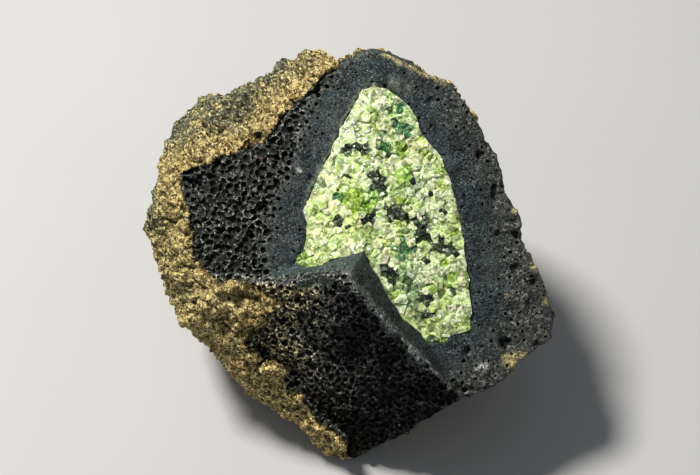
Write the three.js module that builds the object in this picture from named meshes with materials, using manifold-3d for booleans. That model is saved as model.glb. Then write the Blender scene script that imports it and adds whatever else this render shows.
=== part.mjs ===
// An olivine nodule in a broken volcanic bomb: a lump of pale green olivine grains held in
// dark vesicular basalt, whose outer side is a rusty weathered crust. Millimetres, +Z up.
//
// The stone is laid out in a frame of its broken face: u to the right, v up the face, w out of
// it. It is then tipped back to lie on its rounded back, and it is flat where it rests.
import * as THREE from "three";
import { ImprovedNoise } from "three/addons/math/ImprovedNoise.js";
import { mergeVertices } from "three/addons/utils/BufferGeometryUtils.js";
import Module from "manifold-3d";

const wasm = await Module();
wasm.setup();

// How the stone lies: how steeply the face looks up, and how high its middle is.
const FACE_LOOKS_UP = THREE.MathUtils.degToRad(55);
const FACE_HEIGHT = 65;

// The outlines below are drawn as they look square on to the face from this far away.
const SEEN_FROM = 525;

// The bomb: how far it bulges in front of its rim and behind it, and the depth of its middle.
const MIDDLE_BULGE = 46;
const BACK_BULGE = 50;
const BACK_LEAN = 10;
const MIDDLE_DEPTH = -22;
const BACK_SQUARENESS = 2.2;
const FRONT_SQUARENESS = 2.5;
const BOMB_DETAIL = 10;
const RIM_CROWDING = 1.25;

// Relief: the lumps and knobs of the crust, which are lower at the rim, and the rough breaks.
const LUMP_SIZE = 15;
const LUMP_HEIGHT = 2.6;
const KNOB_SIZE = 7;
const KNOB_HEIGHT = 2;
const BREAK_STEP = 5.6;
const BREAK_WAVE = 13;
const BREAK_RELIEF = 1.1;
const FRONT_BREAK_BOW = 1.8;
const BOW_WIDTH = 60;

// The blocks of rock that the breaks are cut from.
const BLOCK_SIZE = 176;
const BLOCK_DEPTH = 120;

// The nodule: how deep it goes, the gap round it, and the size and spacing of its grains.
const NODULE_DEPTH = 20;
const NODULE_GAP = 0.35;
const NODULE_PROUD = 0.4;
const GRAIN_SPACING = 4.9;
const GRAIN_SMALL = 2.5;
const GRAIN_LARGE = 3.8;

// Gas bubbles cut open by the breaks: their radii, how close they sit, and where they start.
const PIT_SMALL = 1.2;
const PIT_LARGE = 2.4;
const PIT_SPACING = 5.75;
const DENSE_BAND = 6.5;
const RIGHT_BUBBLES_FROM = 12;

// The rim of the bomb, clockwise from the notch at the top: u, v as seen, and the depth w.
const RIM = [
  [-4, 50.5, -9], [2.7, 55, -8], [8.9, 54, -8], [17, 51, -8], [20.5, 48.2, -8], [25.5, 46.6, -8],
  [30.5, 40.5, -9], [35.4, 32.7, -10], [42.1, 14.9, -12], [45.4, 7, -13], [45.8, 2.4, -13],
  [49.1, -3, -14], [54.5, -17.8, -15], [54, -21.5, -15], [42.4, -31.9, -12], [29.4, -39.4, -10],
  [18.9, -44.3, -17], [14.9, -48.3, -22], [11.1, -49.3, -25], [6.2, -53.2, -31], [-0.8, -55.3, -37],
  [-7.3, -54, -37], [-14.9, -45.4, -36], [-28.9, -37.2, -34], [-34.3, -30.2, -33],
  [-38, -29.8, -32], [-38.3, -25.9, -31], [-47, -17.8, -28], [-52.7, -3, -25], [-54.3, 8.9, -24],
  [-53, 19.4, -24], [-49.7, 28.1, -25], [-48.3, 33.4, -26], [-44, 38.1, -26], [-40.9, 41.6, -26],
  [-34.8, 42, -25], [-30.5, 44.4, -24], [-25.7, 46.6, -22], [-19.2, 49.8, -20], [-14, 54.3, -18],
  [-9.8, 54.3, -16],
];

// How far the bomb bulges in front near its rim: angle round the face in degrees, and bulge.
const RIM_BULGE = [
  [-180, 24], [-166, 27], [-150, 26], [-135, 24], [-118, 22], [-95, 18], [-80, 22], [-60, 34],
  [90, 34], [104, 29], [115, 27], [133, 24], [155, 30], [168, 27], [180, 24],
];

// The edge of the crust that still covers the lower left of the front: u, v as seen.
const FRONT_CRUST = [
  [-39.2, -5.4], [-35.6, -7], [-29.4, -6.8], [-23.8, -10.3], [-18.9, -13], [-20.3, -15.9],
  [-25.9, -20.5], [-28.4, -24], [-24.6, -29.2], [-18.4, -31.9], [-15.4, -38.1], [-9.7, -44.8],
  [-1.6, -52.1], [-1.6, -70], [-70, -70], [-70, 0],
];

// The outline of the nodule on the broken face, clockwise from its top: u, v as seen.
const NODULE = [
  [5.4, 45.6], [10.8, 43.5], [16.2, 38.9], [17.6, 35.4], [19.7, 30.9], [23.8, 26.5],
  [25.9, 21.1], [28.6, 10.8], [30.2, 1.1], [31.3, -6.5], [31.9, -16.7], [31.4, -20.6],
  [26.7, -22.1], [25.2, -24], [20.5, -24.3], [15.9, -19.4], [13, -17.8], [11.9, -14.9],
  [8.6, -10.8], [6.8, -6.3], [4.3, -3], [3, 0.8], [-1.4, -0.7], [-5.3, -1.1], [-8.5, -3],
  [-12.9, -3.8], [-15.4, -2.2], [-13, 2.2], [-12.3, 8.6], [-13.2, 11.6], [-11.6, 16.2],
  [-6.2, 27.3], [-3.5, 33.6], [-0.5, 39], [1.9, 43.5],
];

// Each break is a plane through three points: u, v as seen, and the depth w.
const SUMMIT = [-1.1, -5.9, 11.9];
const NODULE_NOTCH = [3, 0.8, 0.5];
const BREAKS = {
  left: [[-43.2, 21.3, -6], [-43.2, -4.3, -6.5], [-6.2, 22.7, 0]],
  right: [[4.6, 52.4, 3], [27.5, -38, -7], [53.2, -17.8, -10]],
  front: [SUMMIT, [-16.7, -12.7, 0], [28.9, -39.4, -6]],
  upper: [SUMMIT, NODULE_NOTCH, [-15.1, -3.8, -1.4]],
  flank: [SUMMIT, [20.8, -25.9, -5], NODULE_NOTCH],
};

// Large open bubbles seen one by one: u, v as seen, and their radius.
const CAVITIES = [
  [-26, -27, 2.6], [-11.8, -29.4, 1.7], [-15.6, -33.8, 1.3], [-43, 19, 2.2], [-8, 7.4, 1.5],
  [-27.5, 5.4, 2.2], [31.5, -26.5, 1.6], [41.8, -24.6, 2.1], [-26.3, 31.5, 2], [-11.7, 20.2, 1.4],
  [21.3, 41.4, 1.6], [-38.2, -1.2, 1.8],
];

const noise = new ImprovedNoise();
const random = THREE.MathUtils.seededRandom;
const between = (low, high) => low + (high - low) * random();

// A point of the stone from where it is seen and how deep it lies.
function seen([u, v, w]) {
  const scale = 1 - w / SEEN_FROM;
  return new THREE.Vector3(u * scale, v * scale, w);
}

function solidOf(geometry) {
  const bare = geometry.clone();
  bare.deleteAttribute("normal");
  bare.deleteAttribute("uv");
  const merged = mergeVertices(bare, 1e-4);
  const vertProperties = new Float32Array(merged.attributes.position.array);
  const triVerts = new Uint32Array(merged.index.array);
  return new wasm.Manifold(new wasm.Mesh({ numProp: 3, vertProperties, triVerts }));
}

function geometryOf(solid) {
  const mesh = solid.getMesh();
  const positions = new Float32Array(mesh.numVert * 3);
  for (let i = 0; i < mesh.numVert; i++) {
    const start = i * mesh.numProp;
    positions.set(mesh.vertProperties.subarray(start, start + 3), i * 3);
  }
  const geometry = new THREE.BufferGeometry();
  geometry.setAttribute("position", new THREE.BufferAttribute(positions, 3));
  geometry.setIndex(new THREE.BufferAttribute(mesh.triVerts, 1));
  return geometry;
}

// Smooth bumps of a size at a point, from about -1 to 1.
function relief({ x, y, z }, size) {
  return 1.6 * noise.noise(x / size + 7.3, y / size + 2.1, z / size + 5.7);
}

// A small polyhedron turned at random and moved to its place.
function scattered(geometry, centre) {
  const turn = new THREE.Euler(between(0, 6), between(0, 6), between(0, 6));
  geometry.applyMatrix4(new THREE.Matrix4().makeRotationFromEuler(turn));
  geometry.translate(centre.x, centre.y, centre.z);
  return solidOf(geometry);
}

// The rim at an angle round the face: its radius and its depth.
const rimAngles = RIM.map(([u, v]) => Math.atan2(v, u));
const wholeTurn = (angle) => THREE.MathUtils.euclideanModulo(angle, 2 * Math.PI);
function rimAt(angle) {
  for (let i = 0; i < RIM.length; i++) {
    const next = (i + 1) % RIM.length;
    const span = wholeTurn(rimAngles[i] - rimAngles[next]);
    const part = wholeTurn(rimAngles[i] - angle);
    if (part > span) continue;
    // The straight line between two rim points is met at this angle.
    const from = seen(RIM[i]);
    const to = seen(RIM[next]);
    const near = Math.sin(part) * Math.hypot(from.x, from.y);
    const far = Math.sin(span - part) * Math.hypot(to.x, to.y);
    const met = from.lerp(to, near / (near + far));
    return { radius: Math.hypot(met.x, met.y), depth: met.z };
  }
}

// The bulge in front of the rim at an angle round the face, and at a share of the way out.
function bulgeAt(angle, across) {
  const degrees = THREE.MathUtils.radToDeg(angle);
  const next = RIM_BULGE.findIndex(([end]) => end >= degrees);
  const [low, from] = RIM_BULGE[Math.max(next - 1, 0)];
  const [high, to] = RIM_BULGE[Math.max(next, 1)];
  const atRim = THREE.MathUtils.mapLinear(degrees, low, high, from, to);
  const outer = THREE.MathUtils.smoothstep(across, 0.2, 0.5);
  return THREE.MathUtils.lerp(MIDDLE_BULGE, atRim, outer);
}

// The whole bomb before it broke: a lumpy ball stretched to its rim.
function bomb() {
  const geometry = new THREE.IcosahedronGeometry(1, BOMB_DETAIL);
  const position = geometry.attributes.position;
  const point = new THREE.Vector3();
  for (let i = 0; i < position.count; i++) {
    point.fromBufferAttribute(position, i).normalize();
    // The facets are drawn together towards the rim, where the crust shows.
    const out = Math.sign(point.z) * Math.abs(point.z) ** RIM_CROWDING;
    const angle = Math.atan2(point.y, point.x);
    const rim = rimAt(angle);
    const squareness = out > 0 ? FRONT_SQUARENESS : BACK_SQUARENESS;
    const across = (1 - Math.abs(out) ** squareness) ** (1 / squareness);
    const backBulge = BACK_BULGE + BACK_LEAN * Math.sin(angle) * across;
    const depth = out * (out > 0 ? bulgeAt(angle, across) : backBulge);
    const radius = rim.radius * across;
    const middle = THREE.MathUtils.lerp(MIDDLE_DEPTH, rim.depth, across);
    point.set(radius * Math.cos(angle), radius * Math.sin(angle), middle + depth);
    const outward = point.clone().setZ(point.z - MIDDLE_DEPTH).normalize();
    const lumps = LUMP_HEIGHT * relief(point, LUMP_SIZE) * (1 - 0.75 * across ** 6);
    const knobs = KNOB_HEIGHT * relief(point, KNOB_SIZE) * (1 - 0.4 * across ** 6);
    point.addScaledVector(outward, lumps + knobs);
    position.setXYZ(i, point.x, point.y, point.z);
  }
  return solidOf(geometry);
}

// The plane of a break, facing out of the stone, and its height over a place on the face.
function breakPlane(corners) {
  const plane = new THREE.Plane().setFromCoplanarPoints(...corners.map(seen));
  return plane.normal.z < 0 ? plane.negate() : plane;
}

function heightOn({ normal, constant }, u, v) {
  return -(constant + normal.x * u + normal.y * v) / normal.z;
}

function faceHeight(u, v) {
  const planes = [BREAKS.left, BREAKS.right].map(breakPlane);
  return Math.min(...planes.map((plane) => heightOn(plane, u, v)));
}

// The rock behind a break: a block whose face is rough, and arched where it has a bow.
// Open bubbles are cut into it where bubbles(u, v) says how likely one is.
function rockBehind(corners, { lift = 0, bubbles = () => 0, step = BREAK_STEP, bow = 0 } = {}) {
  const { normal } = breakPlane(corners);
  const middle = new THREE.Vector3();
  corners.forEach((corner) => middle.addScaledVector(seen(corner), 1 / corners.length));
  const turn = new THREE.Quaternion().setFromUnitVectors(new THREE.Vector3(0, 0, 1), normal);
  const place = new THREE.Matrix4().compose(middle, turn, new THREE.Vector3(1, 1, 1));
  const faceAt = (x, y) => {
    const arch = bow * (1 - (x * x + y * y) / (BOW_WIDTH / 2) ** 2);
    const wave = BREAK_RELIEF * relief(new THREE.Vector3(x, y, 0).applyMatrix4(place), BREAK_WAVE);
    return new THREE.Vector3(x, y, lift + Math.max(arch, -1) + wave);
  };

  const cells = Math.round(BLOCK_SIZE / step);
  const geometry = new THREE.BoxGeometry(BLOCK_SIZE, BLOCK_SIZE, BLOCK_DEPTH, cells, cells);
  geometry.translate(0, 0, -BLOCK_DEPTH / 2);
  const position = geometry.attributes.position;
  for (let i = 0; i < position.count; i++) {
    if (position.getZ(i) < -1) continue;
    const [x, y] = [position.getX(i), position.getY(i)];
    const aside = (seed) => 0.5 * step * noise.noise(0.31 * x, 0.31 * y, seed);
    position.setXYZ(i, ...faceAt(x + aside(0.3), y + aside(8.6)));
  }
  geometry.applyMatrix4(place);

  const pits = [];
  const reach = BLOCK_SIZE / 3;
  const anywhere = () => between(-0.4, 0.4) * PIT_SPACING;
  for (let x = -reach; x <= reach; x += PIT_SPACING) {
    for (let y = -reach; y <= reach; y += PIT_SPACING) {
      const centre = faceAt(x + anywhere(), y + anywhere()).applyMatrix4(place);
      const pit = scattered(new THREE.OctahedronGeometry(between(PIT_SMALL, PIT_LARGE)), centre);
      if (random() < bubbles(centre.x, centre.y)) pits.push(pit);
    }
  }
  const block = solidOf(geometry);
  return pits.length ? block.subtract(wasm.Manifold.union(pits)) : block;
}

// A prism between two depths, on an outline moved outwards by a distance.
function prism(corners, from, to, outward = 0) {
  const points = corners.map(([u, v]) => new THREE.Vector2(u, v));
  const outline = points.map((point, i) => {
    const before = point.clone().sub(points.at(i - 1)).normalize();
    const after = points[(i + 1) % points.length].clone().sub(point).normalize();
    const side = new THREE.Vector2(-before.y - after.y, before.x + after.x).normalize();
    return point.clone().addScaledVector(side, outward);
  });
  const options = { depth: to - from, bevelEnabled: false };
  const geometry = new THREE.ExtrudeGeometry(new THREE.Shape(outline), options);
  return solidOf(geometry.translate(0, 0, from));
}

function distanceToNodule(u, v) {
  const here = new THREE.Vector3(u, v, 0);
  const nearest = new THREE.Vector3();
  let inside = false;
  let distance = Infinity;
  NODULE.forEach(([u1, v1], i) => {
    const [u2, v2] = NODULE.at(i - 1);
    if (v1 > v !== v2 > v && u < ((u2 - u1) * (v - v1)) / (v2 - v1) + u1) inside = !inside;
    const side = new THREE.Line3(new THREE.Vector3(u1, v1, 0), new THREE.Vector3(u2, v2, 0));
    distance = Math.min(distance, side.closestPointToPoint(here, true, nearest).distanceTo(here));
  });
  return inside ? 0 : distance;
}

// Bubbles are rare in the dense rock round the nodule and crowd together away from it.
function crowding(u, v) {
  return THREE.MathUtils.smoothstep(distanceToNodule(u, v), DENSE_BAND, 2 * DENSE_BAND);
}

// The olivine grains: stubby crystals packed in rows over the face of the nodule.
function grains() {
  random(23);
  const crystals = [];
  const stretch = () => between(0.8, 1.1);
  const aside = () => between(-0.22, 0.22) * GRAIN_SPACING;
  const bounds = new THREE.Box2().setFromPoints(NODULE.map(([u, v]) => new THREE.Vector2(u, v)));
  let odd = 0;
  for (let v = bounds.min.y; v < bounds.max.y; v += GRAIN_SPACING * Math.sin(Math.PI / 3)) {
    odd = 1 - odd;
    for (let u = bounds.min.x; u < bounds.max.x + GRAIN_SPACING; u += GRAIN_SPACING) {
      const centre = new THREE.Vector3(u - odd * GRAIN_SPACING / 2 + aside(), v + aside(), 0);
      centre.z = faceHeight(centre.x, centre.y) + between(-1.4, 0.1);
      const radius = between(GRAIN_SMALL, GRAIN_LARGE);
      if (distanceToNodule(centre.x, centre.y) > radius / 2) continue;
      const crystal = new THREE.IcosahedronGeometry(radius);
      crystals.push(scattered(crystal.scale(stretch(), stretch(), stretch()), centre));
    }
  }
  return wasm.Manifold.union(crystals);
}

function noduleSolid() {
  const bed = { lift: NODULE_PROUD, step: BLOCK_SIZE / 8 };
  const face = rockBehind(BREAKS.left, bed).intersect(rockBehind(BREAKS.right, bed));
  const outline = prism(NODULE, -NODULE_DEPTH + NODULE_GAP, BLOCK_DEPTH, -NODULE_GAP);
  return face.add(grains()).intersect(outline);
}

// The basalt: the bomb cut by its breaks, with a block left standing beside the nodule.
function basaltSolid() {
  random(11);
  const left = rockBehind(BREAKS.left, { bubbles: crowding });
  const right = rockBehind(BREAKS.right, {
    bubbles: (u, v) => (u > RIGHT_BUBBLES_FROM ? 0.45 * crowding(u, v) : 0),
  });
  const front = rockBehind(BREAKS.front, {
    bubbles: (u, v) => (v < 0 ? 0.5 + 0.5 * crowding(u, v) : 0),
    bow: FRONT_BREAK_BOW,
  }).add(prism(FRONT_CRUST, -BLOCK_DEPTH, BLOCK_DEPTH));
  const block = rockBehind(BREAKS.upper).intersect(rockBehind(BREAKS.flank));
  const broken = left.intersect(right).add(block).intersect(front);
  const cavities = CAVITIES.map(([u, v, radius]) => {
    const height = Math.min(faceHeight(u, v), heightOn(breakPlane(BREAKS.front), u, v));
    const centre = new THREE.Vector3(u, v, height - 0.3 * radius);
    return scattered(new THREE.IcosahedronGeometry(radius), centre);
  });
  const pocket = prism(NODULE, -NODULE_DEPTH, BLOCK_DEPTH);
  return bomb().intersect(broken).subtract(wasm.Manifold.union([...cavities, pocket]));
}

// The stone leans back, and is cut off where it meets the ground.
const lean = new THREE.Matrix4().makeRotationX(Math.PI / 2 - FACE_LOOKS_UP);
lean.setPosition(0, 0, FACE_HEIGHT);
const room = 4 * FACE_HEIGHT;
const aboveGround = new THREE.BoxGeometry(room, room, room).translate(0, 0, room / 2);
aboveGround.applyMatrix4(lean.clone().invert());

const basaltLook = new THREE.MeshStandardMaterial({ color: 0x33393a, roughness: 0.92, metalness: 0 });
const olivineLook = new THREE.MeshStandardMaterial({ color: 0xa9bd5e, roughness: 0.3, metalness: 0 });

const basalt = new THREE.Mesh(geometryOf(basaltSolid().intersect(solidOf(aboveGround))), basaltLook);
basalt.name = "basalt_bomb";
const olivine = new THREE.Mesh(geometryOf(noduleSolid()), olivineLook);
olivine.name = "olivine_nodule";

const stone = new THREE.Group();
stone.add(basalt, olivine);
stone.applyMatrix4(lean);

// The origin is under the middle of the stone, on the surface that it rests on.
const middle = new THREE.Box3().setFromObject(stone, true).getCenter(new THREE.Vector3());
stone.position.x -= middle.x;
stone.position.y -= middle.y;

export default stone;
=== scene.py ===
"""The looks of an olivine nodule in a broken volcanic bomb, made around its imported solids."""
import math
import random

import bmesh
import bpy
import numpy as np
from bpy.props import FloatProperty, FloatVectorProperty, IntProperty, PointerProperty
from mathutils import Euler, Matrix, Vector, bvhtree, kdtree, noise


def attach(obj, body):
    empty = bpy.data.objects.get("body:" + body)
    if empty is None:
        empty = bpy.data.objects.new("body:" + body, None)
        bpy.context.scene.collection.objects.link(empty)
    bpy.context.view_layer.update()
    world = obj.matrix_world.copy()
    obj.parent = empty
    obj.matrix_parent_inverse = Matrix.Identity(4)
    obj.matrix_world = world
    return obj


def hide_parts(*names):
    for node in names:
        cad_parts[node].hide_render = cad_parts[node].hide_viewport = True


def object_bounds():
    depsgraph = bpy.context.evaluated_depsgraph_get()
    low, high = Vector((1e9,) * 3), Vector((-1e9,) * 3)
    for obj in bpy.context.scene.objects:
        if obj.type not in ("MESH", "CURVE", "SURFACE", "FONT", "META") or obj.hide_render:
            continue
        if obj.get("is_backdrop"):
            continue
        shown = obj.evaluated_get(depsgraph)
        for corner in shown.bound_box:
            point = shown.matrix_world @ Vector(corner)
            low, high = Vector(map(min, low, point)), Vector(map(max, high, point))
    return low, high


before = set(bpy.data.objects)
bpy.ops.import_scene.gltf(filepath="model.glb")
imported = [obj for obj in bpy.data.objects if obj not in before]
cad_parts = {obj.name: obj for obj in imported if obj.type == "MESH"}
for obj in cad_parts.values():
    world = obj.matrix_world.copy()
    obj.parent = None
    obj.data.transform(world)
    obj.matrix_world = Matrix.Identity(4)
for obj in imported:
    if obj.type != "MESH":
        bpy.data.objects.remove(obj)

bl_info = {
    "name": "Olivine nodule in a volcanic bomb",
    "version": (1, 0, 0),
    "blender": (4, 5, 0),
    "location": "3D View > Sidebar > Nodule",
    "description": "Dresses the packed stone with its crust, bubbles, broken faces and grains",
    "category": "Add Mesh",
}

MM = 0.001
WELD = 0.002 * MM
CAD_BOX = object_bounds()
BOMB = "basalt_bomb"
NODULE = "olivine_nodule"

# The frame of the broken face: u to the right, v up the face and w out of it. Its outlines are
# in millimetres, drawn as they look square on to the face from the camera's distance.
FACE_LOOKS_UP = math.radians(55)
FACE_MIDDLE = Vector((0.00056, -0.0186, 0.065))
SEEN_FROM = 525
FACE = Matrix.Translation(FACE_MIDDLE) @ Matrix.Rotation(math.pi / 2 - FACE_LOOKS_UP, 4, "X")
CAMERA_PLACE = (-0.81, 4.455, SEEN_FROM)
LENS = 100
FILM = 36
LAMP_SIDE = (-0.42, 0.242, 0.875)

# Where the crust ends on the broken side, from the notch at the top down to the tip.
CRUST_EDGE = [
    (-4, 50.5), (-7.3, 48.3), (-11.3, 44.3), (-14.9, 41), (-16.7, 39.7), (-19.2, 36.2),
    (-24.6, 29.4), (-26.2, 29.7), (-46.7, 21.6), (-45.4, 15.9), (-44, 9.2), (-42.9, -0.8),
    (-39.2, -5.4), (-35.6, -7), (-29.4, -6.8), (-23.8, -10.3), (-18.9, -13), (-20.3, -15.9),
    (-25.9, -20.5), (-28.4, -24), (-24.6, -29.2), (-18.4, -31.9), (-15.4, -38.1),
    (-9.7, -44.8), (-1.6, -52.1),
]
BROKEN_SIDE = [*CRUST_EDGE, (-1.6, -80), (80, -80), (80, 80), (-4, 80)]

# The outline of the nodule on the broken face, from its top round to the right.
NODULE_EDGE = [
    (5.4, 45.6), (10.8, 43.5), (16.2, 38.9), (17.6, 35.4), (19.7, 30.9), (23.8, 26.5),
    (25.9, 21.1), (28.6, 10.8), (30.2, 1.1), (31.3, -6.5), (31.9, -16.7), (31.4, -20.6),
    (26.7, -22.1), (25.2, -24), (20.5, -24.3), (15.9, -19.4), (13, -17.8), (11.9, -14.9),
    (8.6, -10.8), (6.8, -6.3), (4.3, -3), (3, 0.8), (-1.4, -0.7), (-5.3, -1.1), (-8.5, -3),
    (-12.9, -3.8), (-15.4, -2.2), (-13, 2.2), (-12.3, 8.6), (-13.2, 11.6), (-11.6, 16.2),
    (-6.2, 27.3), (-3.5, 33.6), (-0.5, 39), (1.9, 43.5),
]

# Each break is a plane through three points: u, v as seen, and the depth w.
SUMMIT = (-1.1, -5.9, 11.9)
NOTCH = (3, 0.8, 0.5)
BREAKS = {
    "left": ((-43.2, 21.3, -6), (-43.2, -4.3, -6.5), (-6.2, 22.7, 0)),
    "right": ((4.6, 52.4, 3), (27.5, -38, -7), (53.2, -17.8, -10)),
    "front": (SUMMIT, (-16.7, -12.7, 0), (28.9, -39.4, -6)),
    "upper": (SUMMIT, NOTCH, (-15.1, -3.8, -1.4)),
    "flank": (SUMMIT, (20.8, -25.9, -5), NOTCH),
}

# Groups of like grains in the nodule, by colour: u, v as seen, and how far each reaches.
GRAIN_SPOTS = {
    "dark": [
        (6.3, 21.5, 1.9), (7, 18.5, 2.5), (11, 11.2, 2.4), (13.5, 10.2, 1.9), (18, 8.2, 1.9),
        (19.2, 5.2, 2.1), (23.5, 2.2, 1.6), (26.5, 0.8, 2), (-3.6, 9.2, 1.5), (-1, 7.6, 1.1),
        (4.6, 9.7, 1.6), (15.9, 18.9, 1), (-4, 17.5, 0.9), (-1.4, 28.3, 1.9), (2.7, 28.6, 1.5),
        (11, 34.8, 0.8), (8.9, 39.1, 0.9), (19.4, -2.7, 1.1), (10.3, -6.5, 2.1), (8.9, -3.2, 1),
        (19.2, -12.4, 1.9), (27, -9.2, 1), (20.3, -16.7, 1.5), (23.5, 11.9, 1), (20.8, 16.2, 0.9),
    ],
    "brown": [(6.5, 39.1, 0.8), (-5.6, 1.4, 0.5)],
    "emerald": [
        (13.8, 33.7, 2), (8.9, 29.2, 2), (13.8, 1.6, 2.2), (-3.5, 15.4, 1.1), (13, 40, 1.2),
        (-13.2, 0.8, 0.9),
    ],
    "lime": [
        (-0.3, 14.6, 3.4), (13.2, 20.5, 3), (13, 27.5, 2.2), (4.3, 12.4, 2.2), (-14.5, -1.5, 2),
    ],
    "bottle": [(15.9, -10.3, 3.2), (14, -6, 2.2), (-9, 18.9, 1.7), (17, -15, 2)],
    "cream": [(7, 42.8, 2.6), (9, -1, 1.8), (29.3, -6, 1.6), (28.5, -15, 2.2), (-6.5, 12, 1.6)],
}

# Stains and crystals on the broken rock, by colour: u, v as seen, and how far each reaches.
ROCK_SPOTS = {
    "gold": [
        (9.5, 54, 1.6), (12.5, 53, 1.8), (16, 51.5, 2), (19.5, 50, 2.2), (22.5, 48.3, 1.8),
        (25, 47, 1.4), (43.7, 11.9, 1.2), (49.1, -3, 1.5), (52.7, -12.4, 1.6), (42.5, -28.8, 2.2),
        (46, -27.6, 1.4), (41.6, -11, 0.9),
    ],
    "specks": [
        (34.3, -30.5, 1.3), (36.2, -30.3, 0.9), (-15.4, 24.6, 0.6), (-14.3, 22.7, 0.7),
        (-18.6, 24.2, 0.5),
    ],
    "blue": [(-44, 20.5, 1.6), (-5.9, 43.2, 1.2)],
    "pink": [(-6.2, -13, 0.8), (-25.2, 26.2, 0.6)],
    "dust": [(11.5, 46, 2), (14.5, 44.6, 1.4)],
}

# Deep holes: u, v as seen, and their radius.
HOLES = [
    (-27, -27.3, 1.9), (-16.2, -29.4, 1.5), (-12.6, -29.8, 1.3), (-6, -25, 0.9), (8.6, 45.4, 0.9),
]

# The ranges over which traits of the rock go from none to full: heights above a break, distances
# from an outline, u and v, all in millimetres, and how far a normal is turned towards a break.
RANGES = {
    "broken": (-6.5, -5.5), "torn v": (-12, -17), "faces front": (0.45, 0.72),
    "front height": (-4, -3), "front from nodule": (3.5, 7.5), "stained inwards": (16, 4),
    "stained v": (-6, -10), "lit v": (-20, -7), "lit inwards": (19, 8),
    "lit at crust v": (-42, -28), "ridge height": (-5, -1), "ridge u": (2, -4),
    "ridge from nodule": (0.5, 2), "foam": (-4, 3), "crest height": (-1.4, -0.3),
    "low v": (-12, -22), "edging": (-6, -1), "dust from nodule": (1.8, 0), "dust v": (8, 20),
    "dust u": (16, 6), "patina": (-5, -10), "patina v": (0, 12), "left u": (2, -4),
    "faces upper": (0.75, 0.9), "faces flank": (0.8, 0.95), "kept detail w": (-34, -22),
    "hollow": (0.05, 0.8), "rims": (0.03, 0.1), "small grains": (0.05, 0.4), "freedom": (0.5, 3),
    "seam": (0.05, 0.4),
}
POCKET_DEPTHS = (-22, 2)

# Widths of the bumps of the stone.
RAGGED = 2.6 * MM
UNEVEN = 11 * MM
TORN = 5 * MM
ROUGH = 4.5 * MM
FINE_ROUGH = 1.1 * MM
CLINKER = 2.4 * MM
FINE_CLINKER = 1.2 * MM
SWELL = 14 * MM
SAND = 1.6 * MM

# How many places are tried for bubbles and for grains.
BUBBLE_TRIES = 60000
GRAIN_TRIES = 300000

# Each grain is broken off by planes: how far up in millimetres, and how much each may lean.
GRAIN_BREAKS = ((0, 0.07), (0.15, 0.2), (0.2, 0.3), (0.4, 0.5))


def smoothstep(values, low, high):
    """A smooth step from 0 at low to 1 at high, which may be the lower of the two."""
    share = np.clip((values - low) / (high - low), 0, 1)
    return share * share * (3 - 2 * share)


def ramp(name, values):
    """How far values are along one of the ranges, from 0 to 1."""
    return smoothstep(values, *RANGES[name])


def each_spot(table):
    """The spots of a table one by one: the name of their colour, u, v and how far they reach."""
    return [(name, *spot) for name, spots in table.items() for spot in spots]


def on_face(points):
    """Points of the scene as u, v and w in the frame of the broken face, in millimetres."""
    turn = np.array(FACE.inverted())
    return (points @ turn[:3, :3].T + turn[:3, 3]) / MM


def as_seen(face_points):
    """Where points of the face frame are seen from the camera: u and v."""
    return face_points[:, :2] / (1 - face_points[:, 2:] / SEEN_FROM)


def seen_point(u, v, w):
    """The point of the face frame that is seen at u, v and lies at the depth w."""
    return Vector((u * (1 - w / SEEN_FROM), v * (1 - w / SEEN_FROM), w))


def outside(outline, seen):
    """How far each seen point is outside an outline, below zero where it is inside."""
    nearest = np.full(len(seen), np.inf)
    inside = np.zeros(len(seen), bool)
    for (u1, v1), (u2, v2) in zip(outline, outline[1:] + outline[:1]):
        along = np.array((u2 - u1, v2 - v1))
        share = np.clip((seen - (u1, v1)) @ along / (along @ along), 0, 1)
        away = seen - (u1, v1) - share[:, None] * along
        nearest = np.minimum(nearest, np.hypot(away[:, 0], away[:, 1]))
        if v1 != v2:
            crossing = u1 + (u2 - u1) * (seen[:, 1] - v1) / (v2 - v1)
            inside ^= ((v1 > seen[:, 1]) != (v2 > seen[:, 1])) & (seen[:, 0] < crossing)
    return np.where(inside, -nearest, nearest)


def normal_of(name):
    """The way that a break faces, in the face frame."""
    corners = [seen_point(*corner) for corner in BREAKS[name]]
    normal = (corners[1] - corners[0]).cross(corners[2] - corners[0]).normalized()
    return np.array(normal if normal.z > 0 else -normal)


def above_break(name, face_points):
    """How far points of the face frame stand out of the plane of a break."""
    return (face_points - np.array(seen_point(*BREAKS[name][0]))) @ normal_of(name)


def above_face(face_points):
    """How far points stand out of the broken face, which has a left and a right plane."""
    heights = [above_break(name, face_points) for name in ("left", "right")]
    return np.maximum(*heights)


def above_breaks(face_points):
    """How far points stand out of the rock that the breaks left."""
    front, upper, flank = [above_break(name, face_points) for name in ("front", "upper", "flank")]
    return np.maximum(np.minimum(above_face(face_points), np.maximum(upper, flank)), front)


def bumps(points, size, seed=0.0):
    """Smooth noise of a size at points of the scene, from about -1 to 1."""
    shifted = points / size + seed
    return np.array([noise.noise(Vector(point)) for point in shifted])


def lumps(points, size, seed=0.0):
    """Round lumps of a size that touch: 1 on top of each, and 0 or less deep between them."""
    shifted = points / size + seed
    away = np.array([noise.voronoi(Vector(point))[0][0] for point in shifted])
    return 1 - 2.4 * away ** 2


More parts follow.
